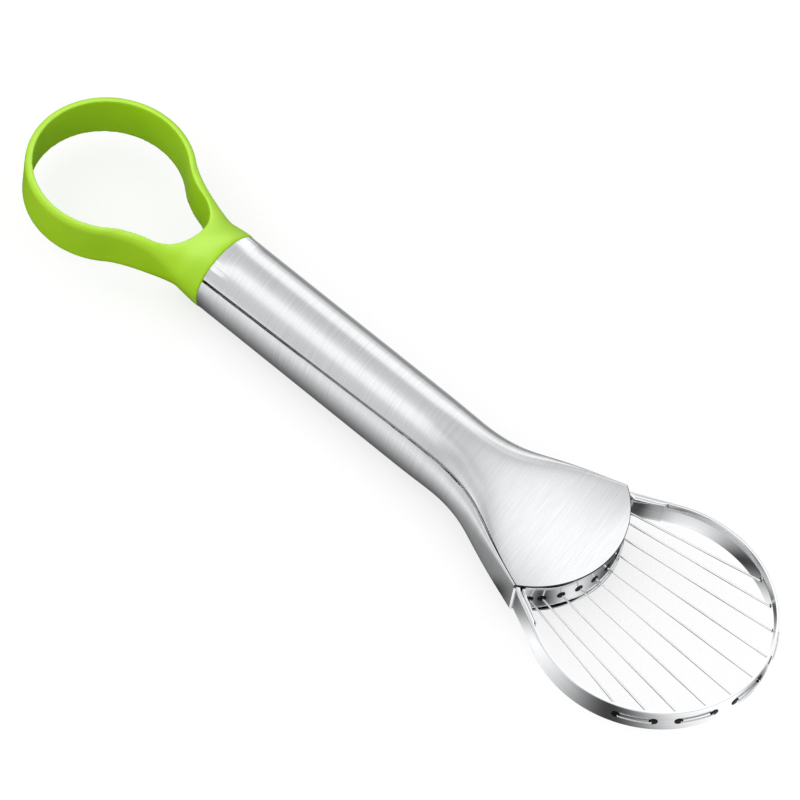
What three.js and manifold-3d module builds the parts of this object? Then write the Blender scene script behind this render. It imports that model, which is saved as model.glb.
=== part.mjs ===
// Avocado knife: hollow steel handle, moulded hanging loop and a round head of fanned cutting wires.
// Units are millimetres, +Z is up. X runs from the loop to the head, Y across the tool.
// All pieces are drawn with x = 0 at the collar's face and z = 0 on the handle's axis; the last
// group moves the whole tool so that its origin is the centre of its footprint.
import * as THREE from 'three';
import { mergeVertices } from 'three/addons/utils/BufferGeometryUtils.js';
import Module from 'manifold-3d';

const wasm = await Module();
wasm.setup();

// Handle
const tubeDiameter = 22;
const shellSheet = 0.9;
const flattenStart = 66; // where the round tube begins to flatten
const mouthX = 115.4; // the two corners of the mouth
const mouthWidth = 43;
const mouthHeight = 10.8;
const mouthSquareness = 16; // superellipse power at the mouth, 2 is round
const flareAngle = 19.5;
const flareRadius = 50;
const plateReach = 11.5; // how far the plate's arc stands out past the corners
const seamAngleCollar = 60; // from the top of the section
const seamAngleMouth = 45;
const seamGap = 0.16;

// Hanging loop
const collarDiameter = 22.4;
const collarGap = 0.12; // between the collar and the tube's end
const collarLength = 14;
const collarSides = 32; // flat sides that stand in for the round, one of them underneath
const loopRadius = 22;
const loopOpeningRadius = 20;
const loopCentreX = -40.5;
const loopHeight = 13;
const loopSquareness = 14;
const openingNoseRadius = 10.3; // round end of the opening beside the collar
const openingNoseX = -20.3;
const openingNeckRadius = 24;
const neckRadius = 31;
const plugLength = 14;
const plugWall = 2;
const plugClearance = 0.15;

// Hoop
const hoopRadius = 31.2;
const legFlareAngle = 29.55; // each leg's slope outside the mouth
const hoopThickness = 1.2;
const hoopHeight = 7.2;
const hoopZ = -0.3;
const hoopTuck = 6; // length of each leg inside the mouth
const hoopSideGap = 0.35;

// Bridge
const bridgeRadius = 26.5;
const bridgeSetback = 0.5; // behind the plate's edge
const bridgeSheetGap = 0.3; // above and below, to the handle's sheets
const bridgeThickness = 0.7;
const bridgeFoldRadius = 0.6;
const bridgeTabLength = 9;
const tabGap = 0.06;

// Wires, bushes and crimps
const runs = 10;
const wireDiameter = 0.52;
const bridgeHoleMargin = 0.1; // between the bridge's last hole and its fold
const bridgeLastStep = 3.2; // between the bridge's last two holes
const linkLength = 9.2; // between the two holes of one hairpin, along the hoop
const pairGap = 6.2; // between neighbouring hairpins, along the hoop
const bushDiameter = 2.2;
const bushClearance = 0.05;
const bushProud = 0.1;
const boreClearance = 0.1;
const bridgeBoreOffset = 0.25;
const hoopBoreOffset = 0.6;
const linkBend = 0.36;
const runBend = 0.8;
const runLead = 0.3;
const bendLead = 0.03;
const crimpDiameter = 1.5;
const crimpLength = 1.6;
const crimpGap = 0.45;
const crimpClearance = 0.08;
const wireTail = 0.4;

const rad = THREE.MathUtils.degToRad;
const tubeRadius = tubeDiameter / 2;
const collarRadius = collarDiameter / 2;
const wireRadius = wireDiameter / 2;
const bushRadius = bushDiameter / 2;

// Closed mesh to solid and back
function solidOf(geometry) {
  const bare = new THREE.BufferGeometry();
  bare.setAttribute('position', geometry.getAttribute('position'));
  bare.setIndex(geometry.getIndex());
  const merged = mergeVertices(bare, 1e-5);
  const vertProperties = new Float32Array(merged.getAttribute('position').array);
  const corners = merged.getIndex().array;
  const faces = [];
  for (let i = 0; i < corners.length; i += 3) {
    const [a, b, c] = corners.slice(i, i + 3);
    if (a !== b && b !== c && c !== a) faces.push(a, b, c); // drops slivers on a lathe's axis
  }
  const triVerts = new Uint32Array(faces);
  return new wasm.Manifold(new wasm.Mesh({ numProp: 3, vertProperties, triVerts }));
}

function geometryOf(solid) {
  const mesh = solid.getMesh();
  const indexed = new THREE.BufferGeometry();
  indexed.setAttribute('position', new THREE.BufferAttribute(mesh.vertProperties, 3));
  indexed.setIndex(new THREE.BufferAttribute(mesh.triVerts, 1));
  const geometry = indexed.toNonIndexed();
  geometry.computeVertexNormals();
  return geometry;
}

// Solid between rings of equal point counts, listed along +X and counter-clockwise seen from +X
function loft(rings) {
  const count = rings[0].length;
  const positions = rings.flat().flatMap((p) => [p.x, p.y, p.z]);
  const index = [];
  for (let i = 0; i + 1 < rings.length; i += 1) {
    for (let j = 0; j < count; j += 1) {
      const a = i * count + j;
      const b = i * count + ((j + 1) % count);
      index.push(a, b, b + count, a, b + count, a + count);
    }
  }
  const cap = (ring) => THREE.ShapeUtils.triangulateShape(ring.map((p) => new THREE.Vector2(p.y, p.z)), []);
  const last = (rings.length - 1) * count;
  cap(rings[0]).forEach(([a, b, c]) => index.push(c, b, a));
  cap(rings.at(-1)).forEach(([a, b, c]) => index.push(last + a, last + b, last + c));
  const geometry = new THREE.BufferGeometry();
  geometry.setAttribute('position', new THREE.Float32BufferAttribute(positions, 3));
  geometry.setIndex(index);
  return geometry;
}

function prism(shape, height, middleZ, curveSegments) {
  const geometry = new THREE.ExtrudeGeometry(shape, { depth: height, bevelEnabled: false, curveSegments });
  return geometry.translate(0, 0, middleZ - height / 2);
}

// Point of a superellipse at an angle from the top of the section
function rim(halfWidth, halfHeight, power, angle) {
  const bow = (value) => (Math.abs(value) < 1e-9 ? 0 : Math.sign(value) * Math.abs(value) ** (2 / power));
  return new THREE.Vector2(halfWidth * bow(Math.sin(angle)), halfHeight * bow(Math.cos(angle)));
}

// Evenly spread points of a stretch of that outline, closer together where it turns
function rimStretch(halfWidth, halfHeight, power, from, to, count) {
  const steps = 900;
  const turnWeight = 0.7;
  const dense = [];
  for (let i = 0; i <= steps; i += 1) {
    dense.push(rim(halfWidth, halfHeight, power, from + ((to - from) * i) / steps));
  }
  const lengths = [];
  const turns = [];
  for (let i = 1; i <= steps; i += 1) {
    const step = dense[i].clone().sub(dense[i - 1]);
    const next = dense[Math.min(i + 1, steps)].clone().sub(dense[i]);
    lengths.push(step.length());
    turns.push(next.length() > 0 ? Math.abs(Math.atan2(step.cross(next), step.dot(next))) : 0);
  }
  const sum = (list) => list.reduce((total, value) => total + value, 0);
  const wholeLength = sum(lengths);
  const wholeTurn = sum(turns);
  const weights = lengths.map((l, i) => l / wholeLength + (turnWeight * turns[i]) / wholeTurn);
  const whole = sum(weights);
  const points = [dense[0]];
  let reached = 0;
  let i = 0;
  for (let k = 1; k < count; k += 1) {
    const target = (whole * k) / count;
    while (reached + weights[i] < target) {
      reached += weights[i];
      i += 1;
    }
    points.push(dense[i].clone().lerp(dense[i + 1], (target - reached) / weights[i]));
  }
  points.push(dense[steps]);
  return points;
}

function smooth(value, from, to) {
  return THREE.MathUtils.smoothstep(value, from, to);
}

// Handle sections: straight sides, then a fillet of flareRadius into a steady flare
const flareSlope = Math.tan(rad(flareAngle));
const flareCornerX = mouthX - (mouthWidth / 2 - tubeRadius) / flareSlope;
const flareSetback = flareRadius * Math.tan(rad(flareAngle) / 2);
const flareStartX = flareCornerX - flareSetback;
const flareEndX = flareCornerX + flareSetback * Math.cos(rad(flareAngle));

function handleHalfWidth(x) {
  if (x <= flareStartX) return tubeRadius;
  if (x >= flareEndX) return tubeRadius + (x - flareCornerX) * flareSlope;
  return tubeRadius + flareRadius - Math.sqrt(flareRadius ** 2 - (x - flareStartX) ** 2);
}

function handleHalfHeight(x) {
  return THREE.MathUtils.lerp(tubeRadius, mouthHeight / 2, smooth(x, flattenStart, mouthX));
}

function handlePower(x) {
  const share = THREE.MathUtils.clamp((x - flattenStart) / (mouthX - flattenStart), 0, 1);
  return 2 + (mouthSquareness - 2) * share ** 3;
}

function seamAngle(x) {
  return rad(THREE.MathUtils.lerp(seamAngleCollar, seamAngleMouth, Math.min(x / mouthX, 1)));
}

// The plate's edge is an arc through both corners of the mouth
const mouthHalf = mouthWidth / 2;
const plateRadius = (mouthHalf ** 2 + plateReach ** 2) / (2 * plateReach);
const plateTipX = mouthX + plateReach;
const plateCentreX = plateTipX - plateRadius;

function plateCutter() {
  const far = 2 * mouthWidth;
  const shape = new THREE.Shape();
  shape.moveTo(plateCentreX, -far);
  shape.lineTo(plateCentreX + far, -far);
  shape.lineTo(plateCentreX + far, far);
  shape.lineTo(plateCentreX, far);
  shape.lineTo(plateCentreX, plateRadius);
  shape.absarc(plateCentreX, 0, plateRadius, Math.PI / 2, -Math.PI / 2, true);
  return solidOf(prism(shape, 4 * tubeDiameter, 0, 48));
}

// One shell of the handle, from one seam round to the other
function handleShell(isTop, pointCount) {
  const flareSteps = 14;
  const stations = [collarGap, flattenStart / 3, (flattenStart * 2) / 3, flattenStart];
  for (let i = 1; i <= flareSteps; i += 1) {
    stations.push(flattenStart + ((plateTipX + shellSheet - flattenStart) * i) / flareSteps);
  }
  const rings = stations.map((x) => {
    const a = handleHalfWidth(x);
    const b = handleHalfHeight(x);
    const power = handlePower(x);
    const seam = seamAngle(x);
    const probe = 1e-4;
    const speed = rim(a, b, power, seam + probe).distanceTo(rim(a, b, power, seam - probe)) / (2 * probe);
    const half = seamGap / 2 / speed;
    const from = isTop ? seam - half : 2 * Math.PI - seam - half;
    const to = isTop ? half - seam : seam + half;
    const outer = rimStretch(a, b, power, from, to, pointCount);
    const inner = rimStretch(a - shellSheet, b - shellSheet, power, from, to, pointCount);
    return [...outer, ...inner.reverse()].map((p) => new THREE.Vector3(x, p.x, p.y));
  });
  return geometryOf(solidOf(loft(rings)).subtract(plateCutter()));
}

// Keyhole opening of the loop: two circles joined by hollow fillets
function openingShape() {
  const span = openingNoseX - loopCentreX;
  const fromLoop = loopOpeningRadius + openingNeckRadius;
  const fromNose = openingNoseRadius + openingNeckRadius;
  const alongX = (span ** 2 + fromLoop ** 2 - fromNose ** 2) / (2 * span);
  const filletY = Math.sqrt(fromLoop ** 2 - alongX ** 2);
  const filletX = loopCentreX + alongX;
  const loopEnd = Math.atan2(filletY, alongX);
  const noseEnd = Math.atan2(filletY, filletX - openingNoseX);
  const shape = new THREE.Shape();
  shape.absarc(loopCentreX, 0, loopOpeningRadius, loopEnd, 2 * Math.PI - loopEnd, false);
  shape.absarc(filletX, -filletY, openingNeckRadius, Math.PI - loopEnd, Math.PI - noseEnd, true);
  shape.absarc(openingNoseX, 0, openingNoseRadius, -noseEnd, noseEnd, false);
  shape.absarc(filletX, filletY, openingNeckRadius, Math.PI + noseEnd, Math.PI + loopEnd, true);
  return shape;
}

// Outer width of the collar and arms, up to where they touch the loop's disc
const neckRun = Math.sqrt((loopRadius + neckRadius) ** 2 - (collarRadius + neckRadius) ** 2);
const neckStartX = loopCentreX + neckRun;
const neckEndX = loopCentreX + (neckRun * loopRadius) / (loopRadius + neckRadius);

function collarHalfWidth(x) {
  if (x >= neckStartX) return collarRadius;
  return collarRadius + neckRadius - Math.sqrt(neckRadius ** 2 - (x - neckStartX) ** 2);
}

function collarSections() {
  const stationCount = 15;
  const rings = [];
  for (let i = 0; i <= stationCount; i += 1) {
    const x = (neckEndX * (stationCount - i)) / stationCount;
    const share = smooth(-x, 0, collarLength);
    const halfHeight = THREE.MathUtils.lerp(collarRadius, loopHeight / 2, share);
    const power = THREE.MathUtils.lerp(2, loopSquareness, smooth(-x, collarLength / 2, -neckEndX));
    const fine = rimStretch(collarHalfWidth(x), halfHeight, power, 2 * Math.PI, 0, 2 * collarSides);
    const ring = fine.filter((p, k) => k % 2 === 1);
    rings.push(ring.map((p) => new THREE.Vector3(x, p.x, p.y)));
  }
  return solidOf(loft(rings));
}

function loopDisc() {
  const profile = rimStretch(loopRadius, loopHeight / 2, loopSquareness, Math.PI, 0, 20);
  const disc = new THREE.LatheGeometry(profile, 64);
  return solidOf(disc.rotateX(Math.PI / 2).translate(loopCentreX, 0, 0));
}

function loopPlug() {
  const radius = tubeRadius - shellSheet - plugClearance;
  const root = -plugWall;
  const profile = [
    new THREE.Vector2(0, root),
    new THREE.Vector2(radius, root),
    new THREE.Vector2(radius, plugLength),
    new THREE.Vector2(radius - plugWall, plugLength),
    new THREE.Vector2(radius - plugWall, plugWall),
    new THREE.Vector2(0, plugWall),
  ];
  const plug = new THREE.LatheGeometry(profile, 32);
  return solidOf(plug.rotateZ(-Math.PI / 2));
}

function hangLoop() {
  const opening = solidOf(prism(openingShape(), 2 * loopHeight, 0, 24));
  return geometryOf(loopDisc().add(collarSections()).add(loopPlug()).subtract(opening));
}

// Upright strip of even thickness that follows a line drawn in plan
function strip(line, thickness, height, middleZ) {
  const side = (offset) => line.map((p, i) => {
    const before = line[Math.max(i - 1, 0)];
    const after = line[Math.min(i + 1, line.length - 1)];
    const into = p.clone().sub(before).normalize();
    const out = after.clone().sub(p).normalize();
    const along = into.add(out).normalize();
    const straight = out.lengthSq() > 0 ? out : along;
    const reach = offset / Math.max(along.dot(straight), 0.5);
    return new THREE.Vector2(p.x - along.y * reach, p.y + along.x * reach);
  });
  const outline = [...side(-thickness / 2), ...side(thickness / 2).reverse()];
  return solidOf(prism(new THREE.Shape(outline), height, middleZ, 1));
}

function mirrored(line) {
  return line.map((p) => new THREE.Vector2(p.x, -p.y)).reverse();
}

function arcPoints(centreX, centreY, radius, from, to, count) {
  const points = [];
  for (let i = 0; i <= count; i += 1) {
    const angle = from + ((to - from) * i) / count;
    points.push(new THREE.Vector2(centreX + radius * Math.cos(angle), centreY + radius * Math.sin(angle)));
  }
  return points;
}

// Hoop: legs follow the mouth's side walls, then run straight to the round end
const hoopMidRadius = hoopRadius - hoopThickness / 2;
const legAngle = rad(legFlareAngle);
const legTouch = legAngle + Math.PI / 2; // where a leg meets the round end
const legY = mouthHalf - shellSheet - hoopSideGap - hoopThickness / 2;
const hoopCentreX = mouthX + (hoopMidRadius - legY * Math.cos(legAngle)) / Math.sin(legAngle);

function hoopLine() {
  const inside = new THREE.Vector2(mouthX - hoopTuck * Math.cos(rad(flareAngle)), 0);
  inside.y = legY - hoopTuck * Math.sin(rad(flareAngle));
  const leg = [inside, new THREE.Vector2(mouthX, legY)];
  return [...leg, ...arcPoints(hoopCentreX, 0, hoopMidRadius, legTouch, -legTouch, 56), ...mirrored(leg)];
}

// Bridge: an arc under the plate's edge, as high as the mouth, folded sharply into a tab along each leg
const bridgeHeight = mouthHeight - 2 * shellSheet - 2 * bridgeSheetGap;
const bridgeMidRadius = bridgeRadius - bridgeThickness / 2;
const bridgeCentreX = plateTipX - bridgeSetback - bridgeRadius;

// The corner where the arc meets the tab's line, and the arc's angle where the fold begins
function bridgeCorner() {
  const inset = hoopThickness / 2 + tabGap + bridgeThickness / 2;
  const along = new THREE.Vector2(Math.cos(legAngle), Math.sin(legAngle));
  const foot = new THREE.Vector2(mouthX + inset * along.y, legY - inset * along.x);
  const fromCentre = foot.clone().sub(new THREE.Vector2(bridgeCentreX, 0));
  const half = fromCentre.dot(along);
  const shift = Math.sqrt(half ** 2 - fromCentre.lengthSq() + bridgeMidRadius ** 2) - half;
  const corner = foot.clone().addScaledVector(along, shift);
  const cornerAngle = Math.atan2(corner.y, corner.x - bridgeCentreX);
  const arriving = new THREE.Vector2(-Math.sin(cornerAngle), Math.cos(cornerAngle));
  const turn = Math.acos(arriving.dot(along));
  const setback = bridgeFoldRadius * Math.tan(turn / 2);
  return { corner, along, turn, setback, foldFrom: cornerAngle - setback / bridgeMidRadius };
}

const bridgeFold = bridgeCorner();

function bridgeLine() {
  const { corner, along, turn, setback, foldFrom } = bridgeFold;
  const arriveX = -Math.sin(foldFrom);
  const arriveY = Math.cos(foldFrom);
  const start = new THREE.Vector2(arriveY, -arriveX).multiplyScalar(bridgeMidRadius);
  start.x += bridgeCentreX;
  const foldX = start.x + bridgeFoldRadius * arriveY;
  const foldY = start.y - bridgeFoldRadius * arriveX;
  const foldStart = Math.atan2(start.y - foldY, start.x - foldX);
  const fold = arcPoints(foldX, foldY, bridgeFoldRadius, foldStart, foldStart - turn, 8).slice(1, -1);
  const tab = [setback, setback + bridgeTabLength].map((d) => corner.clone().addScaledVector(along, d));
  const end = [...fold, ...tab];
  const arc = arcPoints(bridgeCentreX, 0, bridgeMidRadius, -foldFrom, foldFrom, 36);
  return [...mirrored(end), ...arc, ...end];
}

// Distances along the bridge from its middle: the last hole is set by the fold, the others share one pitch
const lastBridgeHole = bridgeFold.foldFrom * bridgeMidRadius - bridgeHoleMargin - bushClearance - bushRadius;
const bridgePitch = (lastBridgeHole - bridgeLastStep) / (runs / 2 - 1.5);

function alongBridge(fromMiddle) {
  const isLast = Math.abs(fromMiddle) > runs / 2 - 1;
  return isLast ? Math.sign(fromMiddle) * lastBridgeHole : fromMiddle * bridgePitch;
}

// The ten wire places, from -Y to +Y: hole angles on the bridge and on the hoop.
// The bores sit off the hole's centre: inwards on the bridge, towards the partner hole on the hoop.
function wirePlaces() {
  const places = [];
  for (let i = 0; i < runs; i += 1) {
    const fromMiddle = i - (runs - 1) / 2;
    const pair = Math.floor(i / 2) - (runs / 2 - 1) / 2;
    const within = i % 2 === 0 ? -1 : 1;
    const alongHoop = pair * (linkLength + pairGap) + (within * linkLength) / 2;
    places.push({
      bridge: {
        angle: alongBridge(fromMiddle) / bridgeMidRadius,
        side: -Math.sign(fromMiddle),
        centreX: bridgeCentreX,
        radius: bridgeMidRadius,
        thickness: bridgeThickness,
        boreOffset: bridgeBoreOffset,
      },
      hoop: {
        angle: alongHoop / hoopMidRadius,
        side: -within,
        centreX: hoopCentreX,
        radius: hoopMidRadius,
        thickness: hoopThickness,
        boreOffset: hoopBoreOffset,
      },
    });
  }
  return places;
}

// Point on a bore's line, at a distance out from the middle of its strip
function onBore(seat, out) {
  const radial = new THREE.Vector2(Math.cos(seat.angle), Math.sin(seat.angle));
  const across = new THREE.Vector2(-radial.y, radial.x);
  const point = radial.clone().multiplyScalar(seat.radius + out);
  point.addScaledVector(across, seat.side * seat.boreOffset);
  point.x += seat.centreX;
  return point;
}

function drilled(solid, seats) {
  const holes = seats.map((seat) => {
    const radius = bushRadius + bushClearance;
    const hole = new THREE.CylinderGeometry(radius, radius, 6 * seat.thickness, 16);
    hole.rotateZ(Math.PI / 2).translate(seat.radius, 0, hoopZ).rotateZ(seat.angle);
    return solidOf(hole.translate(seat.centreX, 0, 0));
  });
  return geometryOf(holes.reduce((left, hole) => left.subtract(hole), solid));
}

// Bush with its bore off centre, drawn along +X and turned into its hole
function bushGeometry(seat) {
  const shape = new THREE.Shape();
  shape.absarc(0, 0, bushRadius, 0, 2 * Math.PI, false);
  const bore = new THREE.Path();
  bore.absarc(0, seat.side * seat.boreOffset, wireRadius + boreClearance, 0, 2 * Math.PI, true);
  shape.holes.push(bore);
  const length = seat.thickness + 2 * bushProud;
  const settings = { depth: length, bevelEnabled: false, curveSegments: 7 };
  const bush = new THREE.ExtrudeGeometry(shape, settings);
  return bush.translate(0, 0, -length / 2).rotateY(Math.PI / 2);
}

// Line through corner points with every corner rounded to its own radius
function roundedLine(corners) {
  const bendSteps = 4;
  const line = [];
  corners.forEach(({ point, bend }, i) => {
    if (!bend) {
      line.push(point);
      return;
    }
    const into = point.clone().sub(corners[i - 1].point).normalize();
    const out = corners[i + 1].point.clone().sub(point).normalize();
    const turn = Math.atan2(into.cross(out), into.dot(out));
    const setback = bend * Math.tan(Math.abs(turn) / 2);
    const left = new THREE.Vector2(-into.y, into.x).multiplyScalar(Math.sign(turn));
    const start = point.clone().addScaledVector(into, -setback);
    for (let k = 0; k <= bendSteps; k += 1) {
      const angle = (Math.abs(turn) * k) / bendSteps;
      const step = start.clone().addScaledVector(into, bend * Math.sin(angle));
      line.push(step.addScaledVector(left, bend * (1 - Math.cos(angle))));
    }
  });
  return line;
}

// Curve with one sweep step at each given point of a line in plan
class PlanLine extends THREE.Curve {
  constructor(points, z) {
    super();
    this.points = points.map((p) => new THREE.Vector3(p.x, p.y, z));
  }

  getUtoTmapping(u) {
    return u;
  }

  getPoint(t, target = new THREE.Vector3()) {
    const place = t * (this.points.length - 1);
    const first = Math.min(Math.floor(place + 1e-6), this.points.length - 2);
    return target.lerpVectors(this.points[first], this.points[first + 1], place - first);
  }

  getTangent(t, target = new THREE.Vector3()) {
    const i = Math.round(t * (this.points.length - 1));
    const here = this.points[i];
    const before = this.points[i - 1];
    const after = this.points[i + 1];
    target.set(0, 0, 0);
    if (before) target.add(here.clone().sub(before).normalize());
    if (after) target.add(after.clone().sub(here).normalize());
    return target.normalize();
  }
}

// Half a hairpin, from its end behind the bridge to the bend outside the hoop
const linkOut = hoopThickness / 2 + bushProud + linkBend + bendLead;
const bushBack = bridgeThickness / 2 + bushProud;

function halfWire({ bridge, hoop }) {
  const tail = bushBack + crimpGap + crimpLength + wireTail;
  return [
    { point: onBore(bridge, -tail) },
    { point: onBore(bridge, bushBack + runLead), bend: runBend },
    { point: onBore(hoop, -hoopThickness / 2 - bushProud - runLead), bend: runBend },
    { point: onBore(hoop, linkOut), bend: linkBend },
  ];
}

function hairpinWire(first, second) {
  const linkSteps = 4;
  const link = arcPoints(
    hoopCentreX,
    0,
    hoopMidRadius + linkOut,
    first.hoop.angle,
    second.hoop.angle,
    linkSteps,
  );
  const corners = [
    ...halfWire(first),
    ...link.slice(1, -1).map((point) => ({ point })),
    ...halfWire(second).reverse(),
  ];
  const line = roundedLine(corners);
  const section = new THREE.Shape();
  section.absarc(0, 0, wireRadius, 0, 2 * Math.PI, false);
  const path = new PlanLine(line, hoopZ);
  return new THREE.ExtrudeGeometry(section, { steps: line.length - 1, extrudePath: path, curveSegments: 4 });
}

function crimpGeometry() {
  const bore = wireRadius + crimpClearance;
  const profile = [
    new THREE.Vector2(bore, 0),
    new THREE.Vector2(crimpDiameter / 2, 0),
    new THREE.Vector2(crimpDiameter / 2, crimpLength),
    new THREE.Vector2(bore, crimpLength),
    new THREE.Vector2(bore, 0),
  ];
  return new THREE.LatheGeometry(profile, 10).rotateZ(Math.PI / 2);
}

// Materials
const brushedSteel = () => new THREE.MeshStandardMaterial({ color: 0xc9cacc, roughness: 0.3, metalness: 1 });
const polishedSteel = () => new THREE.MeshStandardMaterial({ color: 0xd4d5d8, roughness: 0.1, metalness: 1 });
const wireSteel = () => new THREE.MeshStandardMaterial({ color: 0xdcdde0, roughness: 0.2, metalness: 1 });
const limePlastic = () => new THREE.MeshStandardMaterial({ color: 0x8fd021, roughness: 0.45, metalness: 0 });
const blackNylon = () => new THREE.MeshStandardMaterial({ color: 0x0d0d0f, roughness: 0.6, metalness: 0 });

const tool = new THREE.Group();

function addPiece(name, geometry, material) {
  const mesh = new THREE.Mesh(geometry, material);
  mesh.name = name;
  tool.add(mesh);
  return mesh;
}

addPiece('hang_loop', hangLoop(), limePlastic());
addPiece('handle_top_shell', handleShell(true, 22), brushedSteel());
addPiece('handle_bottom_shell', handleShell(false, 21), brushedSteel()); // odd: a flat side underneath

const places = wirePlaces();
const hoopSeats = places.map((place) => place.hoop);
const bridgeSeats = places.map((place) => place.bridge);
const hoopStrip = strip(hoopLine(), hoopThickness, hoopHeight, hoopZ);
addPiece('hoop_band', drilled(hoopStrip, hoopSeats), polishedSteel());
const bridgeStrip = strip(bridgeLine(), bridgeThickness, bridgeHeight, 0);
addPiece('wire_bridge', drilled(bridgeStrip, bridgeSeats), polishedSteel());

function addBush(name, seat) {
  const bush = addPiece(name, bushGeometry(seat), blackNylon());
  bush.position.set(seat.radius * Math.cos(seat.angle), seat.radius * Math.sin(seat.angle), hoopZ);
  bush.position.x += seat.centreX;
  bush.rotation.z = seat.angle;
}

places.forEach((place, i) => {
  const number = String(i + 1).padStart(2, '0');
  addBush(`hoop_bush_${number}`, place.hoop);
  addBush(`bridge_bush_${number}`, place.bridge);
  const crimp = addPiece(`wire_crimp_${number}`, crimpGeometry(), wireSteel());
  const seat = onBore(place.bridge, -bushBack - crimpGap);
  crimp.position.set(seat.x, seat.y, hoopZ);
  crimp.rotation.z = place.bridge.angle;
});

for (let i = 0; i < runs; i += 2) {
  addPiece(`cutting_wire_${i / 2 + 1}`, hairpinWire(places[i], places[i + 1]), wireSteel());
}

// Origin: centre of the footprint, on the surface that the collar rests on
const backX = loopCentreX - loopRadius;
const frontX = hoopCentreX + hoopMidRadius + linkOut + wireRadius;
tool.position.set(-(backX + frontX) / 2, 0, collarRadius * Math.cos(Math.PI / collarSides));

const avocadoKnife = new THREE.Group();
avocadoKnife.add(tool);

export default avocadoKnife;
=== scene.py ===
import bpy
import math
from mathutils import Matrix, Vector


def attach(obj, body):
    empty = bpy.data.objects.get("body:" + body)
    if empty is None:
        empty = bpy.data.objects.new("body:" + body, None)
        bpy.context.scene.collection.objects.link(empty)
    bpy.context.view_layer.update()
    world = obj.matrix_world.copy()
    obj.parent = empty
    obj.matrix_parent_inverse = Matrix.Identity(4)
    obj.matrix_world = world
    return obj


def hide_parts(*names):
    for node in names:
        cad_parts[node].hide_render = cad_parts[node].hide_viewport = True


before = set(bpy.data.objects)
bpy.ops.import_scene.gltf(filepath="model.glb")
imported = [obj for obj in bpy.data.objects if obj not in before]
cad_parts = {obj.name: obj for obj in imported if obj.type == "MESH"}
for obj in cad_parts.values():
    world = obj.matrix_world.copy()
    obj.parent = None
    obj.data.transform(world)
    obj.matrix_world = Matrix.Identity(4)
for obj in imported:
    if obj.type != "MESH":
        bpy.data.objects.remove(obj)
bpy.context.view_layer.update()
scene = bpy.context.scene
scene.view_settings.view_transform = "Standard"
print("stage: frame loaded")

# Pieces are drawn in millimetres, with x = 0 at the collar's face and z = 0 on the handle's axis.
drawing = {"scale": 0.001, "origin": Vector((-0.0561175, 0, 0.011146))}  # the collar's face in the row frame


def linearColor(code):
    channels = [int(code[i:i + 2], 16) / 255 for i in (1, 3, 5)]
    return [c / 12.92 if c <= 0.04045 else ((c + 0.055) / 1.055) ** 2.4 for c in channels] + [1]


soft = {"interpolation_type": "SMOOTHSTEP"}  # setting for a Map Range node that fades


def connect(tree, source, socket):  # a node given as the source stands for its first output
    tree.links.new(getattr(source, "outputs", [source])[0], socket)


def addNode(tree, kind, links=(), stops=(), **settings):  # links by name, or in the order of the sockets
    node = tree.nodes.new("ShaderNode" + kind)
    for name, value in settings.items():
        if name in node.bl_rna.properties:
            setattr(node, name, value)
        else:
            node.inputs[name].default_value = value
    for socket, source in links.items() if isinstance(links, dict) else enumerate(links):
        if isinstance(source, (int, float, list)):
            node.inputs[socket].default_value = source
        else:
            connect(tree, source, node.inputs[socket])
    if stops:
        elements = node.color_ramp.elements
        while len(elements) < len(stops):
            elements.new(0.5)
        for element, (at, value) in zip(elements, stops):
            element.position = at
            element.color = value if isinstance(value, list) else (value, value, value, 1)
    return node


def newMaterial(name, isMetal=False):
    material = bpy.data.materials.new(name)
    material.use_nodes = True
    tree = material.node_tree
    shader = tree.nodes["Principled BSDF"]
    shader.inputs["Metallic"].default_value = 1 if isMetal else 0
    return material, tree, shader


def dress(tree, shader, patterns):
    for name, pattern in patterns.items():
        connect(tree, pattern, shader.inputs[name])


def grainPattern(tree, spacing, turn=0, detail=2, roughness=0.5):  # spacing of the grain in mm along x, y, z
    coords = addNode(tree, "TexCoord").outputs["Object"]
    turned = addNode(tree, "Mapping", {"Vector": coords}, Rotation=(0, 0, math.radians(turn)))
    spread = addNode(tree, "Mapping", {"Vector": turned}, Scale=[1000 / step for step in spacing])
    return addNode(tree, "TexNoise", {"Vector": spread}, Scale=1.0, Detail=detail, Roughness=roughness)


def toolPlace(tree):  # x, y and z of a shaded point, in the pieces' millimetres
    coords = addNode(tree, "TexCoord").outputs["Object"]
    shifted = addNode(tree, "VectorMath", [coords, list(drawing["origin"])], operation="SUBTRACT")
    scaled = addNode(tree, "VectorMath", [shifted, [drawing["scale"]] * 3], operation="DIVIDE")
    return list(addNode(tree, "SeparateXYZ", [scaled]).outputs)


def distanceFrom(tree, x, y, centre):
    spot = addNode(tree, "CombineXYZ", [x, y])
    return addNode(tree, "VectorMath", [spot, [*centre, 0]], operation="DISTANCE").outputs["Value"]


def limePolypropylene():  # satin moulded plastic: soft sheen, very fine spark-eroded grain
    material, tree, shader = newMaterial("limePolypropylene")
    shader.inputs["Specular IOR Level"].default_value = 0.42
    mottle = grainPattern(tree, (9, 9, 9), detail=3)
    tint = addNode(tree, "ValToRGB", [mottle], [(0.3, linearColor("#98c806")), (0.7, linearColor("#9fce0c"))])
    grain = grainPattern(tree, (0.35, 0.35, 0.35))
    gloss = addNode(tree, "ValToRGB", [grain], [(0.3, 0.34), (0.7, 0.42)])
    bump = addNode(tree, "Bump", {"Height": grain}, Strength=0.12, Distance=0.00004)
    dress(tree, shader, {"Base Color": tint, "Roughness": gloss, "Normal": bump})
    return material


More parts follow.
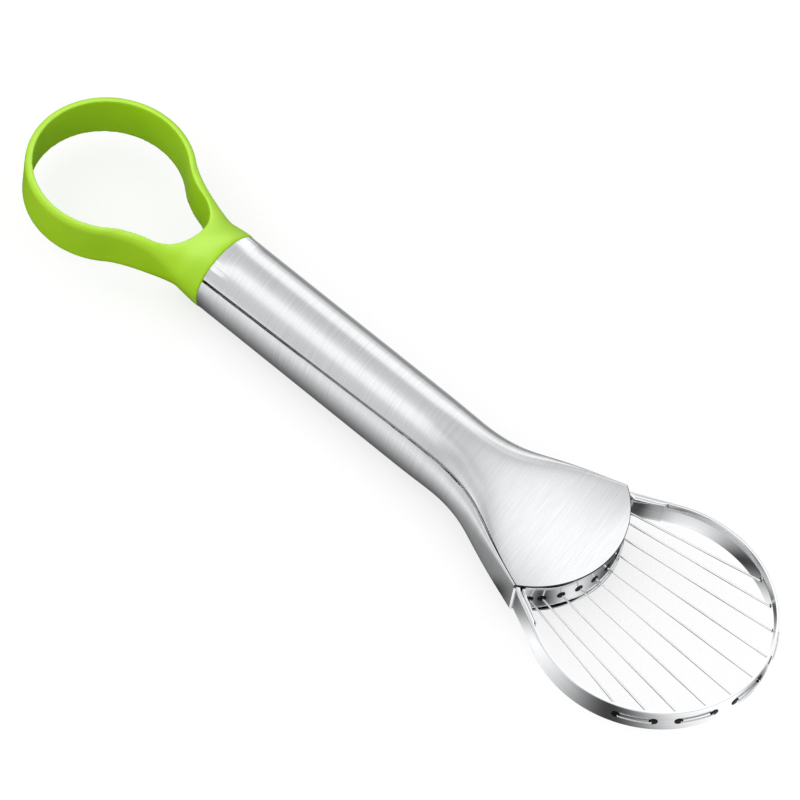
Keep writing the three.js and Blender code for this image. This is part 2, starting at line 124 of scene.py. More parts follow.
def brushedStainless():  # belt-brushed sheet: fine lines across the handle, and a near-black band painted along the plate's curved edge
    edge = {
        "centreX": 101.05, "radius": 25.85, "depth": (0.2, 0.1), "fromX": (112, 116), "fromZ": (3.6, 4.4),
        "grit": 0.25,  # roughness added on the painted dark band
    }
    material, tree, shader = newMaterial("brushedStainless", True)
    lines = grainPattern(tree, (0.28, 10, 10), turn=-9, detail=3, roughness=0.65)  # grit lines, drawn coarse to show
    sheet = addNode(tree, "ValToRGB", [lines], [(0.3, linearColor("#cccdcf")), (0.7, linearColor("#d9dadb"))])
    x, y, z = toolPlace(tree)
    reach = distanceFrom(tree, x, y, (edge["centreX"], 0))
    spans = [(reach, [edge["radius"] - d for d in edge["depth"]]), (x, edge["fromX"]), (z, edge["fromZ"])]
    # mask of the near-black band painted along the plate's curved edge, on its top face only
    darkBand = 1.0
    for value, span in spans:
        step = addNode(tree, "MapRange", [value, *span], **soft)
        darkBand = addNode(tree, "Math", [step, darkBand], operation="MULTIPLY")
    # the colour turns near black inside the painted band
    tint = addNode(tree, "Mix", {0: darkBand, 6: sheet, 7: linearColor("#242426")}, data_type="RGBA").outputs[2]
    grit = addNode(tree, "ValToRGB", [lines], [(0.3, 0.15), (0.7, 0.18)])
    gloss = addNode(tree, "Math", [darkBand, edge["grit"], grit], operation="MULTIPLY_ADD")
    bump = addNode(tree, "Bump", {"Height": lines}, Strength=0.012, Distance=0.00002)
    dress(tree, shader, {"Base Color": tint, "Roughness": gloss, "Normal": bump})
    return material


def polishedStrip():  # rolled and polished strip: clear reflections with faint lengthwise draw marks
    material, tree, shader = newMaterial("polishedStrip", True)
    marks = grainPattern(tree, (14, 14, 0.35))
    tint = addNode(tree, "ValToRGB", [marks], [(0.3, linearColor("#d3d4d6")), (0.7, linearColor("#e0e1e2"))])
    gloss = addNode(tree, "ValToRGB", [marks], [(0.3, 0.1), (0.7, 0.16)])
    bump = addNode(tree, "Bump", {"Height": marks}, Strength=0.05, Distance=0.00001)
    dress(tree, shader, {"Base Color": tint, "Roughness": gloss, "Normal": bump})
    return material


def drawnWire():  # bright drawn wire: thin lines of die marks, sharp highlight
    material, tree, shader = newMaterial("drawnWire", True)
    marks = grainPattern(tree, (3, 0.08, 0.08))
    tint = addNode(tree, "ValToRGB", [marks], [(0.3, linearColor("#cbccce")), (0.7, linearColor("#e0e1e2"))])
    gloss = addNode(tree, "ValToRGB", [marks], [(0.3, 0.1), (0.7, 0.18)])
    dress(tree, shader, {"Base Color": tint, "Roughness": gloss})
    return material


def pressedSleeve():  # plain pressed steel: duller and a little darker than the strip
    material, tree, shader = newMaterial("pressedSleeve", True)
    marks = grainPattern(tree, (0.25, 0.25, 0.25), detail=3)
    tint = addNode(tree, "ValToRGB", [marks], [(0.3, linearColor("#a9aaad")), (0.7, linearColor("#bcbdc0"))])
    gloss = addNode(tree, "ValToRGB", [marks], [(0.3, 0.3), (0.7, 0.42)])
    bump = addNode(tree, "Bump", {"Height": marks}, Strength=0.15, Distance=0.00002)
    dress(tree, shader, {"Base Color": tint, "Roughness": gloss, "Normal": bump})
    return material


def blackNylon():  # black nylon: dull, with a faint moulded grain
    material, tree, shader = newMaterial("blackNylon")
    shader.inputs["Specular IOR Level"].default_value = 0.1
    grain = grainPattern(tree, (0.2, 0.2, 0.2))
    tint = addNode(tree, "ValToRGB", [grain], [(0.3, linearColor("#0d0d0e")), (0.7, linearColor("#161617"))])
    gloss = addNode(tree, "ValToRGB", [grain], [(0.3, 0.45), (0.7, 0.6)])
    dress(tree, shader, {"Base Color": tint, "Roughness": gloss})
    return material


finishes = {
    "lime_plastic": limePolypropylene(),
    "brushed_shell": brushedStainless(),
    "polished_strip": polishedStrip(),
    "cutting_wire": drawnWire(),
    "crimp_sleeve": pressedSleeve(),
    "black_bush": blackNylon(),
}
print("stage: materials made")


def clearSelection():
    if bpy.context.object and bpy.context.object.mode != "OBJECT":
        bpy.ops.object.mode_set(mode="OBJECT")
    bpy.ops.object.select_all(action="DESELECT")


def makeActive(piece):
    clearSelection()
    piece.select_set(True)
    bpy.context.view_layer.objects.active = piece


def applyModifier(piece, kind, **settings):
    makeActive(piece)
    modifier = piece.modifiers.new(kind.lower(), kind)
    for name, value in settings.items():
        setattr(modifier, name, value)
    bpy.ops.object.modifier_apply(modifier=modifier.name)


def carve(piece, cutter, operation="DIFFERENCE"):
    applyModifier(piece, "BOOLEAN", object=cutter, operation=operation, solver="EXACT")
    bpy.data.objects.remove(cutter)


def tidyMesh(piece):  # merges the edges that meet, closes the ends and turns the faces outwards
    makeActive(piece)
    bpy.ops.object.mode_set(mode="EDIT")
    bpy.ops.mesh.select_all(action="SELECT")
    bpy.ops.mesh.remove_doubles(threshold=0.0005)
    bpy.ops.mesh.fill_holes(sides=0)
    bpy.ops.mesh.select_all(action="SELECT")
    bpy.ops.mesh.normals_make_consistent(inside=False)
    bpy.ops.object.mode_set(mode="OBJECT")


def gridPiece(name, rows):  # a grid primitive whose points are pulled to their places, row by row
    clearSelection()
    bpy.ops.mesh.primitive_grid_add(x_subdivisions=len(rows[0]) - 1, y_subdivisions=len(rows) - 1)
    piece = bpy.context.object
    piece.name = name
    piece.data.vertices.foreach_set("co", [c for row in rows for point in row for c in point])
    piece.data.update()
    tidyMesh(piece)
    return piece


def rod(radius, depth, place, turn, sides=32):  # a cylinder primitive lying along x, turned in plan
    clearSelection()
    bpy.ops.mesh.primitive_cylinder_add(
        vertices=sides, radius=radius, depth=depth, location=place, rotation=(0, math.pi / 2, turn))
    return bpy.context.object


def finishPiece(piece, name, node, slot, smoothAngle):
    makeActive(piece)
    piece.name = name
    piece.data.name = name
    piece.location = piece.location * drawing["scale"] + drawing["origin"]
    piece.scale = piece.scale * drawing["scale"]
    bpy.ops.object.transform_apply(location=True, rotation=True, scale=True)
    bpy.ops.object.shade_smooth_by_angle(angle=math.radians(smoothAngle))
    piece.data.materials.clear()
    piece.data.materials.append(finishes[slot])
    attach(piece, "root")
    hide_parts(node)


def copyPiece(piece):  # each copy has its own mesh
    makeActive(piece)
    bpy.ops.object.duplicate(linked=False)
    return bpy.context.object


def smoothStep(value, start, end):
    share = min(max((value - start) / (end - start), 0), 1)
    return share * share * (3 - 2 * share)


def mix(a, b, share):
    return a + (b - a) * share


def rimPoint(halfWidth, halfHeight, power, angle):  # superellipse, angle from the top of the section
    def bow(value):
        return 0 if abs(value) < 1e-9 else math.copysign(abs(value) ** (2 / power), value)
    return Vector((halfWidth * bow(math.sin(angle)), halfHeight * bow(math.cos(angle))))


def rimStretch(halfWidth, halfHeight, power, start, end, count, steps=900):  # denser where it turns
    dense = [rimPoint(halfWidth, halfHeight, power, mix(start, end, i / steps)) for i in range(steps + 1)]
    moves = [b - a for a, b in zip(dense, dense[1:])]
    lengths = [m.length for m in moves]
    turns = [abs(math.atan2(a.x * b.y - a.y * b.x, a.dot(b))) for a, b in zip(moves, moves[1:] + moves[-1:])]
    weights = [l / sum(lengths) + 0.7 * t / sum(turns) for l, t in zip(lengths, turns)]
    whole = sum(weights)
    points, reached, i = [dense[0]], 0, 0
    for k in range(1, count):
        while reached + weights[i] < whole * k / count:
            reached += weights[i]
            i += 1
        points.append(dense[i].lerp(dense[i + 1], (whole * k / count - reached) / weights[i]))
    return points + [dense[-1]]


handle = {  # two stamped sheets, round at the collar and flat at the mouth
    "radius": 11, "sheet": 0.9, "sheetMouth": 0.5, "sheetThins": (92, 113),
    "startX": 0.12, "flattenX": 66, "blendX": 105,
    "mouthX": 115.4, "mouthHalf": 21.5, "mouthHalfHeight": 5.4, "squareness": 36, "squareOnset": 6,
    "flareAngle": math.radians(19.5), "flareRadius": 50, "plateReach": 11.5,
    "seamCollar": 60, "seamMouth": 45, "seamGap": 0.84, "seamGapMouth": 0.24, "seamNarrows": (90, 113),
    "seamFar": 0.06, "lipReach": 1, "lipDepths": [(-1, 1.05), (0.45, 1.75), (1, 0.8)], "lipBack": 2, "lipEnd": 108,
    "edgeRound": 0.15, "edgeGuard": 0.22,
}


def handleWidth(x):
    slope = math.tan(handle["flareAngle"])
    corner = handle["mouthX"] - (handle["mouthHalf"] - handle["radius"]) / slope
    setback = handle["flareRadius"] * math.tan(handle["flareAngle"] / 2)
    if x <= corner - setback:
        return handle["radius"]
    if x >= corner + setback * math.cos(handle["flareAngle"]):
        return handle["radius"] + (x - corner) * slope
    along = x - corner + setback
    return handle["radius"] + handle["flareRadius"] - math.sqrt(handle["flareRadius"] ** 2 - along ** 2)


def handleOutline(x):  # half width, half height and squareness of the handle, and its seam's angle
    share = min(max((x - handle["flattenX"]) / (handle["mouthX"] - handle["flattenX"]), 0), 1)
    power = 2 + (handle["squareness"] - 2) * share ** handle["squareOnset"]
    b = mix(handle["radius"], handle["mouthHalfHeight"], smoothStep(x, handle["flattenX"], handle["mouthX"]))
    seam = math.radians(mix(handle["seamCollar"], handle["seamMouth"], min(x / handle["mouthX"], 1)))
    return handleWidth(x), b, power, seam


def turnFor(length, a, b, power, angle):  # turn of the outline's angle that moves a point by a length
    return length * 2e-4 / (rimPoint(a, b, power, angle + 1e-4) - rimPoint(a, b, power, angle - 1e-4)).length


def handleRing(x, isTop, count):  # outer and inner outline of one sheet at x
    a, b, power, seam = handleOutline(x)
    gap = mix(handle["seamGap"], handle["seamGapMouth"], smoothStep(x, *handle["seamNarrows"]))
    near, far = (turnFor(width / 2, a, b, power, seam) for width in (gap, handle["seamFar"]))
    start, end = (seam - far, near - seam) if isTop else (2 * math.pi - seam - near, seam + far)
    sheet = mix(handle["sheet"], handle["sheetMouth"], smoothStep(x, *handle["sheetThins"]))
    return [guarded(rimStretch(a - d, b - d, power, start, end, count - 2)) for d in (0, sheet)]


def seamLip(side):  # a folded strip of the lower sheet under each seam
    rows = []
    for x in [0.6, *range(6, 61, 6), *range(62, handle["lipEnd"], 2)]:
        a, b, power, seam = handleOutline(x)
        turn = turnFor(handle["lipReach"], a, b, power, seam)
        front = handle["lipDepths"]
        corners = front + [(1, handle["lipBack"]), (-1, handle["lipBack"])] + front[:1]
        rows.append([(x, *rimPoint(a - d, b - d, power, side * (seam + share * turn))) for share, d in corners])
    return gridPiece("seamLip", rows)


def guarded(points):  # a point close to each end keeps the shading flat up to the rounded edge
    guards = [a.lerp(b, min(handle["edgeGuard"] / (b - a).length, 0.7)) for a, b in (points[:2], points[:-3:-1])]
    return [points[0], guards[0], *points[1:-1], guards[1], points[-1]]


def handleShell(isTop, count):
    radius = (handle["mouthHalf"] ** 2 + handle["plateReach"] ** 2) / (2 * handle["plateReach"])
    centreX = handle["mouthX"] + handle["plateReach"] - radius  # of the plate's arc
    stations = [handle["startX"]] + list(range(6, 61, 6)) + list(range(62, 130))
    rings = [handleRing(x, isTop, count) for x in stations]

    def spot(x, side, j):
        i = max(k for k, station in enumerate(stations[:-1]) if station <= x)
        share = (x - stations[i]) / (stations[i + 1] - stations[i])
        return rings[i][side][j].lerp(rings[i + 1][side][j], share)

    ends = []
    for side in (0, 1):
        for j in range(count + 1):
            x = handle["mouthX"]
            for _ in range(12):
                y = spot(x, side, j).x
                x = mix(x, centreX + math.sqrt(max(radius ** 2 - y ** 2, 0)), 0.7)
            ends.append(x)

    def sheetRow(places):
        row = [Vector((x, *spot(x, 0, j))) for j, x in enumerate(places[:count + 1])]
        return row + [Vector((x, *spot(x, 1, j))) for j, x in enumerate(places[count + 1:])]

    straight = [x for x in stations if x < handle["blendX"]]
    rows = [sheetRow([x] * (2 * count + 2)) for x in straight]
    blendSteps = 22
    for k in range(blendSteps + 1):
        rows.append(sheetRow([mix(handle["blendX"], x, k / blendSteps) for x in ends]))

    def closed(row):
        return row[:count + 1] + row[count + 1:][::-1] + row[:1]

    def middle(row):
        mids = [(a + b) / 2 for a, b in zip(row[:count + 1], row[count + 1:])]
        return closed(mids + mids)

    loops = [middle(rows[0])] + [closed(row) for row in rows] + [middle(rows[-1])]
    piece = gridPiece("handleShell", loops)
    applyModifier(piece, "BEVEL", width=handle["edgeRound"], segments=3, limit_method="ANGLE",
                  angle_limit=math.radians(55))
    return piece


finishPiece(handleShell(True, 96), "upperShell", "handle_top_shell", "brushed_shell", 40)
lowerShell = handleShell(False, 120)
lips = [seamLip(-1), seamLip(1)]
makeActive(lowerShell)
for lip in lips:
    lip.select_set(True)
bpy.ops.object.join()
finishPiece(lowerShell, "lowerShell", "handle_bottom_shell", "brushed_shell", 40)
print("stage: handle shells made")


hangLoop = {  # one moulding: loop, collar and the plug inside the tube
    "collarRadius": 11.2, "collarLength": 14, "radius": 22, "openingRadius": 20, "centreX": -40.5,
    "height": 13, "squareness": 14, "noseRadius": 10.3, "noseX": -20.3, "openingNeck": 24, "neckRadius": 31,
    "plugRadius": 9.95, "plugWall": 2, "plugLength": 14, "rimRound": 1.1, "voxel": 0.36, "softening": 12,
    "reliefRadius": 2.2, "reliefAngle": math.radians(60),  # grooves in the plug, under the handle's seams
}


def neckTube():
    reach = hangLoop["radius"] + hangLoop["neckRadius"]
    run = math.sqrt(reach ** 2 - (hangLoop["collarRadius"] + hangLoop["neckRadius"]) ** 2)
    startX = hangLoop["centreX"] + run
    endX = hangLoop["centreX"] + run * hangLoop["radius"] / reach
    rows = []
    for i in range(65):
        x = endX * (1 - i / 64)
        halfHeight = mix(hangLoop["collarRadius"], hangLoop["height"] / 2,
                         smoothStep(-x, 0, hangLoop["collarLength"]))
        power = mix(2, hangLoop["squareness"], smoothStep(-x, hangLoop["collarLength"] / 2, -endX))
        along = min(x - startX, 0)
        halfWidth = hangLoop["collarRadius"] + hangLoop["neckRadius"]
        halfWidth -= math.sqrt(hangLoop["neckRadius"] ** 2 - along ** 2)
        rows.append([(x, *p) for p in rimStretch(halfWidth, halfHeight, power, 2 * math.pi, 0, 128)])
    return gridPiece("neckTube", rows)


def arcPoints(centreX, centreY, radius, start, end, count):
    angles = [mix(start, end, i / count) for i in range(count + 1)]
    return [Vector((centreX + radius * math.cos(a), centreY + radius * math.sin(a))) for a in angles]


def openingCutter():  # keyhole: two circles joined by hollow fillets
    span = hangLoop["noseX"] - hangLoop["centreX"]
    fromLoop = hangLoop["openingRadius"] + hangLoop["openingNeck"]
    fromNose = hangLoop["noseRadius"] + hangLoop["openingNeck"]
    alongX = (span ** 2 + fromLoop ** 2 - fromNose ** 2) / (2 * span)
    filletY = math.sqrt(fromLoop ** 2 - alongX ** 2)
    filletX = hangLoop["centreX"] + alongX
    loopEnd = math.atan2(filletY, alongX)
    noseEnd = math.atan2(filletY, filletX - hangLoop["noseX"])
    line = arcPoints(hangLoop["centreX"], 0, hangLoop["openingRadius"], loopEnd, 2 * math.pi - loopEnd, 120)
    line += arcPoints(filletX, -filletY, hangLoop["openingNeck"], math.pi - loopEnd, math.pi - noseEnd, 40)[1:]
    line += arcPoints(hangLoop["noseX"], 0, hangLoop["noseRadius"], -noseEnd, noseEnd, 60)[1:]
    line += arcPoints(filletX, filletY, hangLoop["openingNeck"], math.pi + noseEnd, math.pi + loopEnd, 40)[1:]
    return gridPiece("openingCutter", [[(p.x, p.y, z) for p in line] for z in (-15, 15)])


def loopMoulding():
    clearSelection()
    bpy.ops.mesh.primitive_cylinder_add(
        vertices=256, radius=hangLoop["radius"], depth=hangLoop["height"], location=(hangLoop["centreX"], 0, 0))
    piece = bpy.context.object
    bpy.ops.object.transform_apply(location=True, rotation=True, scale=True)
    applyModifier(piece, "BEVEL", width=hangLoop["rimRound"], segments=4, limit_method="ANGLE",
                  angle_limit=math.radians(60))
    carve(piece, neckTube(), "UNION")
    plugDepth = hangLoop["plugLength"] + hangLoop["plugWall"]
    plugX = (hangLoop["plugLength"] - hangLoop["plugWall"]) / 2
    plug = rod(hangLoop["plugRadius"], plugDepth, (plugX, 0, 0), 0, 96)
    hollowX = hangLoop["plugWall"] + hangLoop["plugLength"] / 2
    carve(plug, rod(hangLoop["plugRadius"] - hangLoop["plugWall"], hangLoop["plugLength"], (hollowX, 0, 0), 0, 96))
    for side in (-1, 1):
        direction = Vector((side * math.sin(hangLoop["reliefAngle"]), math.cos(hangLoop["reliefAngle"])))
        groove = hangLoop["plugRadius"] * direction
        carve(plug, rod(hangLoop["reliefRadius"], 3 * plugDepth, (plugX, *groove), 0, 24))
    carve(piece, plug, "UNION")
    carve(piece, openingCutter())
    applyModifier(piece, "REMESH", mode="VOXEL", voxel_size=hangLoop["voxel"])
    applyModifier(piece, "SMOOTH", factor=0.5, iterations=hangLoop["softening"])
    return piece


finishPiece(loopMoulding(), "greenHangLoop", "hang_loop", "lime_plastic", 60)
print("stage: hanging loop made")


def sweep(name, line, sections, z):  # sections drawn as (sideways, up), one for each point of a line in plan
    rows = []
    for i, point in enumerate(line):
        into = (point - line[max(i - 1, 0)]).normalized()
        out = (line[min(i + 1, len(line) - 1)] - point).normalized()
        along = (into + out).normalized()
        reach = 1 / max(along.dot(out if out.length else along), 0.5)
        left = Vector((-along.y, along.x)) * reach
        rows.append([(*(point + left * s), z + up) for s, up in sections[i] + sections[i][:1]])
    return gridPiece(name, rows)


def stripSection(strip, low, high, thin=0, ground=0, faceSteps=8):  # thin off the inner face, ground off its top
    edge = strip["edgeRound"]
    outer, inner = strip["thickness"] / 2 - edge, thin + edge - strip["thickness"] / 2
    low, high = low + edge, high - edge
    bevel = [(0, 0)] * 4
    if ground:
        depth, drop = strip["bevelDepth"] * ground, strip["bevelDrop"] * ground
        bevel = [(depth, 0), (depth, 0), (0, -drop), (0, -drop)]
    corners = [(outer, high, 0, None), (inner, high, 90, low), (inner, low, 180, None), (outer, low, 270, high)]
    section = []
    for side, up, turn, faceEnd in corners:
        for k in range(4):
            angle = math.radians(turn + 30 * k)
            shift = bevel[k] if turn == 90 else (0, 0)
            section.append((side + edge * math.cos(angle) + shift[0], up + edge * math.sin(angle) + shift[1]))
        if faceEnd is not None:
            last = section[-1]
            section += [(last[0], mix(last[1], faceEnd, k / faceSteps)) for k in range(1, faceSteps)]
    return section


def mirrored(line):
    return [Vector((p.x, -p.y)) for p in line[::-1]]


def between(a, b, count):
    return [a.lerp(b, i / count) for i in range(count + 1)]


hoop = {  # polished strip bent to a horseshoe, both legs tucked into the mouth
    "radius": 30.6, "thickness": 1.2, "height": 7.2, "z": -0.3, "tuck": 6, "legAngle": math.radians(27.47),
    "legY": 20.25, "edgeRound": 0.14, "tenonLift": 1.4, "tenonFade": (-0.5, 2.5),  # the legs fill the mouth's height
    "bevelDepth": 0.45, "bevelDrop": 1.5, "bevelStart": (10.4, 11.8),  # inner edge ground from past the tabs
}
hoop["centreX"] = handle["mouthX"] + (hoop["radius"] - hoop["legY"] * math.cos(hoop["legAngle"])) / math.sin(
    hoop["legAngle"])

bridge = {  # thinner strip under the plate's edge, its ends folded into tabs along the hoop's legs
    "radius": 26.15, "centreX": 99.9, "thickness": 0.7, "height": 8.4, "z": 0, "foldRadius": 0.6,
    "tabLength": 9, "tabGap": 0.06, "holeMargin": 0.1, "lastStep": 3.2, "edgeRound": 0.12,
    "fillHeight": 9.3, "tabStep": (0, 1.5),  # it fills the mouth, and the tabs step down to the hoop's height
    "tabThin": 0.4, "tabThins": (3, 9),
}

wires = {  # five hairpins; their ten runs fan out from the bridge to the hoop
    "runs": 10, "radius": 0.26, "linkLength": 9.2, "pairGap": 6.2, "bridgeOffset": 0.25, "hoopOffset": 0.6,
    "linkBend": 0.36, "runBend": 0.8, "runLead": 0.3, "bendLead": 0.03, "tail": 0.4,
}

bush = {  # lines each hole; the hoop's have a head outside and a narrow nose inside
    "radius": 1.1, "clearance": 0.05, "proud": 0.1, "bore": 0.36, "edgeRound": 0.06,
    "noseRadius": 0.5, "headDepth": 0.6, "drillLength": 4,
}

crimp = {"radius": 0.75, "bore": 0.34, "length": 1.6, "gap": 0.45, "edgeRound": 0.14}  # on each wire's end


def hoopLine():
    turn = hoop["legAngle"] + math.pi / 2
    mouth = Vector((handle["mouthX"], hoop["legY"]))
    inside = mouth - hoop["tuck"] * Vector((math.cos(handle["flareAngle"]), math.sin(handle["flareAngle"])))
    arc = arcPoints(hoop["centreX"], 0, hoop["radius"], turn, -turn, 240)
    leg = between(inside, mouth, 8)[:-1] + between(mouth, arc[0], 28)[:-1]
    return leg + arc + mirrored(leg)


def bridgeFold():  # the corner where the arc meets the tab, and the arc's angle where the fold begins
    inset = hoop["thickness"] / 2 + bridge["tabGap"] + bridge["thickness"] / 2
    along = Vector((math.cos(hoop["legAngle"]), math.sin(hoop["legAngle"])))
    foot = Vector((handle["mouthX"] + inset * along.y, hoop["legY"] - inset * along.x))
    fromCentre = foot - Vector((bridge["centreX"], 0))
    half = fromCentre.dot(along)
    corner = foot + along * (math.sqrt(half ** 2 - fromCentre.length_squared + bridge["radius"] ** 2) - half)
    cornerAngle = math.atan2(corner.y, corner.x - bridge["centreX"])
    turn = math.acos(Vector((-math.sin(cornerAngle), math.cos(cornerAngle))).dot(along))
    setback = bridge["foldRadius"] * math.tan(turn / 2)
    return corner, along, turn, setback, cornerAngle - setback / bridge["radius"]


def bridgeLine():
    corner, along, turn, setback, foldFrom = bridgeFold()
    outward = Vector((math.cos(foldFrom), math.sin(foldFrom)))
    start = Vector((bridge["centreX"], 0)) + outward * bridge["radius"]
    fold = start + outward * bridge["foldRadius"]
    foldStart = math.atan2(start.y - fold.y, start.x - fold.x)
    bend = arcPoints(fold.x, fold.y, bridge["foldRadius"], foldStart, foldStart - turn, 14)[1:-1]
    tab = between(corner + along * setback, corner + along * (setback + bridge["tabLength"]), 24)
    arc = arcPoints(bridge["centreX"], 0, bridge["radius"], -foldFrom, foldFrom, 120)
    return mirrored(bend + tab) + arc + bend + tab


def alongBridge(fromMiddle):  # the last hole is set by the fold, the others share one pitch
    last = bridgeFold()[-1] * bridge["radius"] - bridge["holeMargin"] - bush["clearance"] - bush["radius"]
    if abs(fromMiddle) > wires["runs"] / 2 - 1:
        return math.copysign(last, fromMiddle)
    return fromMiddle * (last - bridge["lastStep"]) / (wires["runs"] / 2 - 1.5)


def wireSeats(i):
    fromMiddle = i - (wires["runs"] - 1) / 2
    pair = i // 2 - (wires["runs"] / 2 - 1) / 2
    within = -1 if i % 2 == 0 else 1
    alongHoop = pair * (wires["linkLength"] + wires["pairGap"]) + within * wires["linkLength"] / 2
    onBridge = {"strip": bridge, "angle": alongBridge(fromMiddle) / bridge["radius"],
                "offset": -math.copysign(wires["bridgeOffset"], fromMiddle)}
    onHoop = {"strip": hoop, "angle": alongHoop / hoop["radius"], "offset": -within * wires["hoopOffset"]}
    return onBridge, onHoop


seats = [wireSeats(i) for i in range(wires["runs"])]


def onBore(seat, out):  # a point on the bore's line, at a distance out from the middle of its strip
    radial = Vector((math.cos(seat["angle"]), math.sin(seat["angle"])))
    across = Vector((-radial.y, radial.x))
    return Vector((seat["strip"]["centreX"], 0)) + radial * (seat["strip"]["radius"] + out) + across * seat["offset"]


def seatPoint(seat, out):
    reach = seat["strip"]["radius"] + out
    return (seat["strip"]["centreX"] + reach * math.cos(seat["angle"]), reach * math.sin(seat["angle"]), hoop["z"])


def hoopSections(line):
    sections = []
    for point in line:
        past = (point.x - handle["mouthX"]) / math.cos(hoop["legAngle"])  # distance outside the mouth
        high = hoop["height"] / 2 + hoop["tenonLift"] * (1 - smoothStep(past, *hoop["tenonFade"]))
        sections.append(stripSection(hoop, -hoop["height"] / 2, high, 0, smoothStep(past, *hoop["bevelStart"])))
    return sections


def bridgeSections(line):
    corner, along, turn, setback, foldFrom = bridgeFold()
    full, tab = bridge["fillHeight"] / 2, hoop["height"] / 2
    sections = []
    for point in line:
        past = (Vector((point.x, abs(point.y))) - corner).dot(along) - setback  # distance along the tab
        share = smoothStep(past, *bridge["tabStep"]) if point.x > corner.x else 0
        thin = bridge["tabThin"] * smoothStep(past, *bridge["tabThins"]) if share else 0
        low, high = mix(-full, hoop["z"] - tab, share), mix(full, hoop["z"] + tab, share)
        sections.append(stripSection(bridge, low, high, thin))
    return sections


def drillHoop(piece, seat):  # a narrow hole right through, and a wide one from outside for the bush's head
    through = (*onBore(seat, 0), hoop["z"])
    drill = bush["drillLength"]
    carve(piece, rod(bush["noseRadius"] + bush["clearance"], drill, through, seat["angle"], 32))
    headOut = hoop["thickness"] / 2 - bush["headDepth"] + drill / 2
    carve(piece, rod(bush["radius"] + bush["clearance"], drill, seatPoint(seat, headOut), seat["angle"], 48))


hoopStrip = sweep("hoopStrip", hoopLine(), hoopSections(hoopLine()), hoop["z"])
for onBridge, onHoop in seats:
    drillHoop(hoopStrip, onHoop)
finishPiece(hoopStrip, "hoopStrip", "hoop_band", "polished_strip", 35)
bridgeStrip = sweep("bridgeStrip", bridgeLine(), bridgeSections(bridgeLine()), bridge["z"])
for onBridge, onHoop in seats:
    hole = rod(bush["radius"] + bush["clearance"], bush["drillLength"], seatPoint(onBridge, 0), onBridge["angle"], 48)
    carve(bridgeStrip, hole)
finishPiece(bridgeStrip, "bridgeStrip", "wire_bridge", "polished_strip", 35)
print("stage: hoop and bridge made")


def roundedLine(corners, steps=8):
    line = []
    for i, (point, bend) in enumerate(corners):
        if not bend:
            line.append(point)
            continue
        into = (point - corners[i - 1][0]).normalized()
        out = (corners[i + 1][0] - point).normalized()
        turn = math.atan2(into.x * out.y - into.y * out.x, into.dot(out))
        start = point - into * bend * math.tan(abs(turn) / 2)
        left = Vector((-into.y, into.x)) * math.copysign(1, turn)
        for k in range(steps + 1):
            angle = abs(turn) * k / steps
            line.append(start + into * bend * math.sin(angle) + left * bend * (1 - math.cos(angle)))
    return line


def halfWire(onBridge, onHoop):
    bushBack = bridge["thickness"] / 2 + bush["proud"]
    linkOut = hoop["thickness"] / 2 + bush["proud"] + wires["linkBend"] + wires["bendLead"]
    tail = bushBack + crimp["gap"] + crimp["length"] + wires["tail"]
    return [
        (onBore(onBridge, -tail), 0),
        (onBore(onBridge, bushBack + wires["runLead"]), wires["runBend"]),
        (onBore(onHoop, -hoop["thickness"] / 2 - bush["proud"] - wires["runLead"]), wires["runBend"]),
        (onBore(onHoop, linkOut), wires["linkBend"]),
    ]


def hairpin(first, second):
    linkOut = hoop["thickness"] / 2 + bush["proud"] + wires["linkBend"] + wires["bendLead"]
    link = arcPoints(hoop["centreX"], 0, hoop["radius"] + linkOut, first[1]["angle"], second[1]["angle"], 12)
    corners = halfWire(*first) + [(p, 0) for p in link[2:-2]] + halfWire(*second)[::-1]
    circle = [(wires["radius"] * math.cos(a), wires["radius"] * math.sin(a))
              for a in (2 * math.pi * k / 16 for k in range(16))]
    line = roundedLine(corners)
    return sweep("hairpin", line, [circle] * len(line), hoop["z"])


for pair in range(wires["runs"] // 2):
    piece = hairpin(seats[2 * pair], seats[2 * pair + 1])
    finishPiece(piece, f"hairpinWire{pair + 1}", f"cutting_wire_{pair + 1}", "cutting_wire", 60)
print("stage: wires made")


def newBush(strip, offset):  # drawn along x at the origin, +x outwards, bore off centre
    length = strip["thickness"] + 2 * bush["proud"]
    if strip is hoop:
        headLength = bush["headDepth"] + bush["proud"]
        piece = rod(bush["radius"], headLength, ((length - headLength) / 2, 0, 0), 0, 40)
        carve(piece, rod(bush["noseRadius"], length, (0, offset, 0), 0, 32), "UNION")
    else:
        piece = rod(bush["radius"], length, (0, 0, 0), 0, 40)
    carve(piece, rod(bush["bore"], bush["drillLength"], (0, offset, 0), 0, 24))
    makeActive(piece)
    bpy.ops.object.transform_apply(location=True, rotation=True, scale=True)
    applyModifier(piece, "BEVEL", width=bush["edgeRound"], segments=2, limit_method="ANGLE",
                  angle_limit=math.radians(50))
    return piece


def newCrimp():
    piece = rod(crimp["radius"], crimp["length"], (0, 0, 0), 0, 32)
    carve(piece, rod(crimp["bore"], bush["drillLength"], (0, 0, 0), 0, 24))
    bpy.ops.object.transform_apply(location=True, rotation=True, scale=True)
    applyModifier(piece, "BEVEL", width=crimp["edgeRound"], segments=3, limit_method="ANGLE",
                  angle_limit=math.radians(50))
    return piece


def place(piece, point, angle):
    piece.location = point
    piece.rotation_euler = (0, 0, angle)


def wireEndPoint(seat):
    out = -(bridge["thickness"] / 2 + bush["proud"] + crimp["gap"] + crimp["length"] / 2)
    point = onBore(seat, out)
    return (point.x, point.y, hoop["z"])


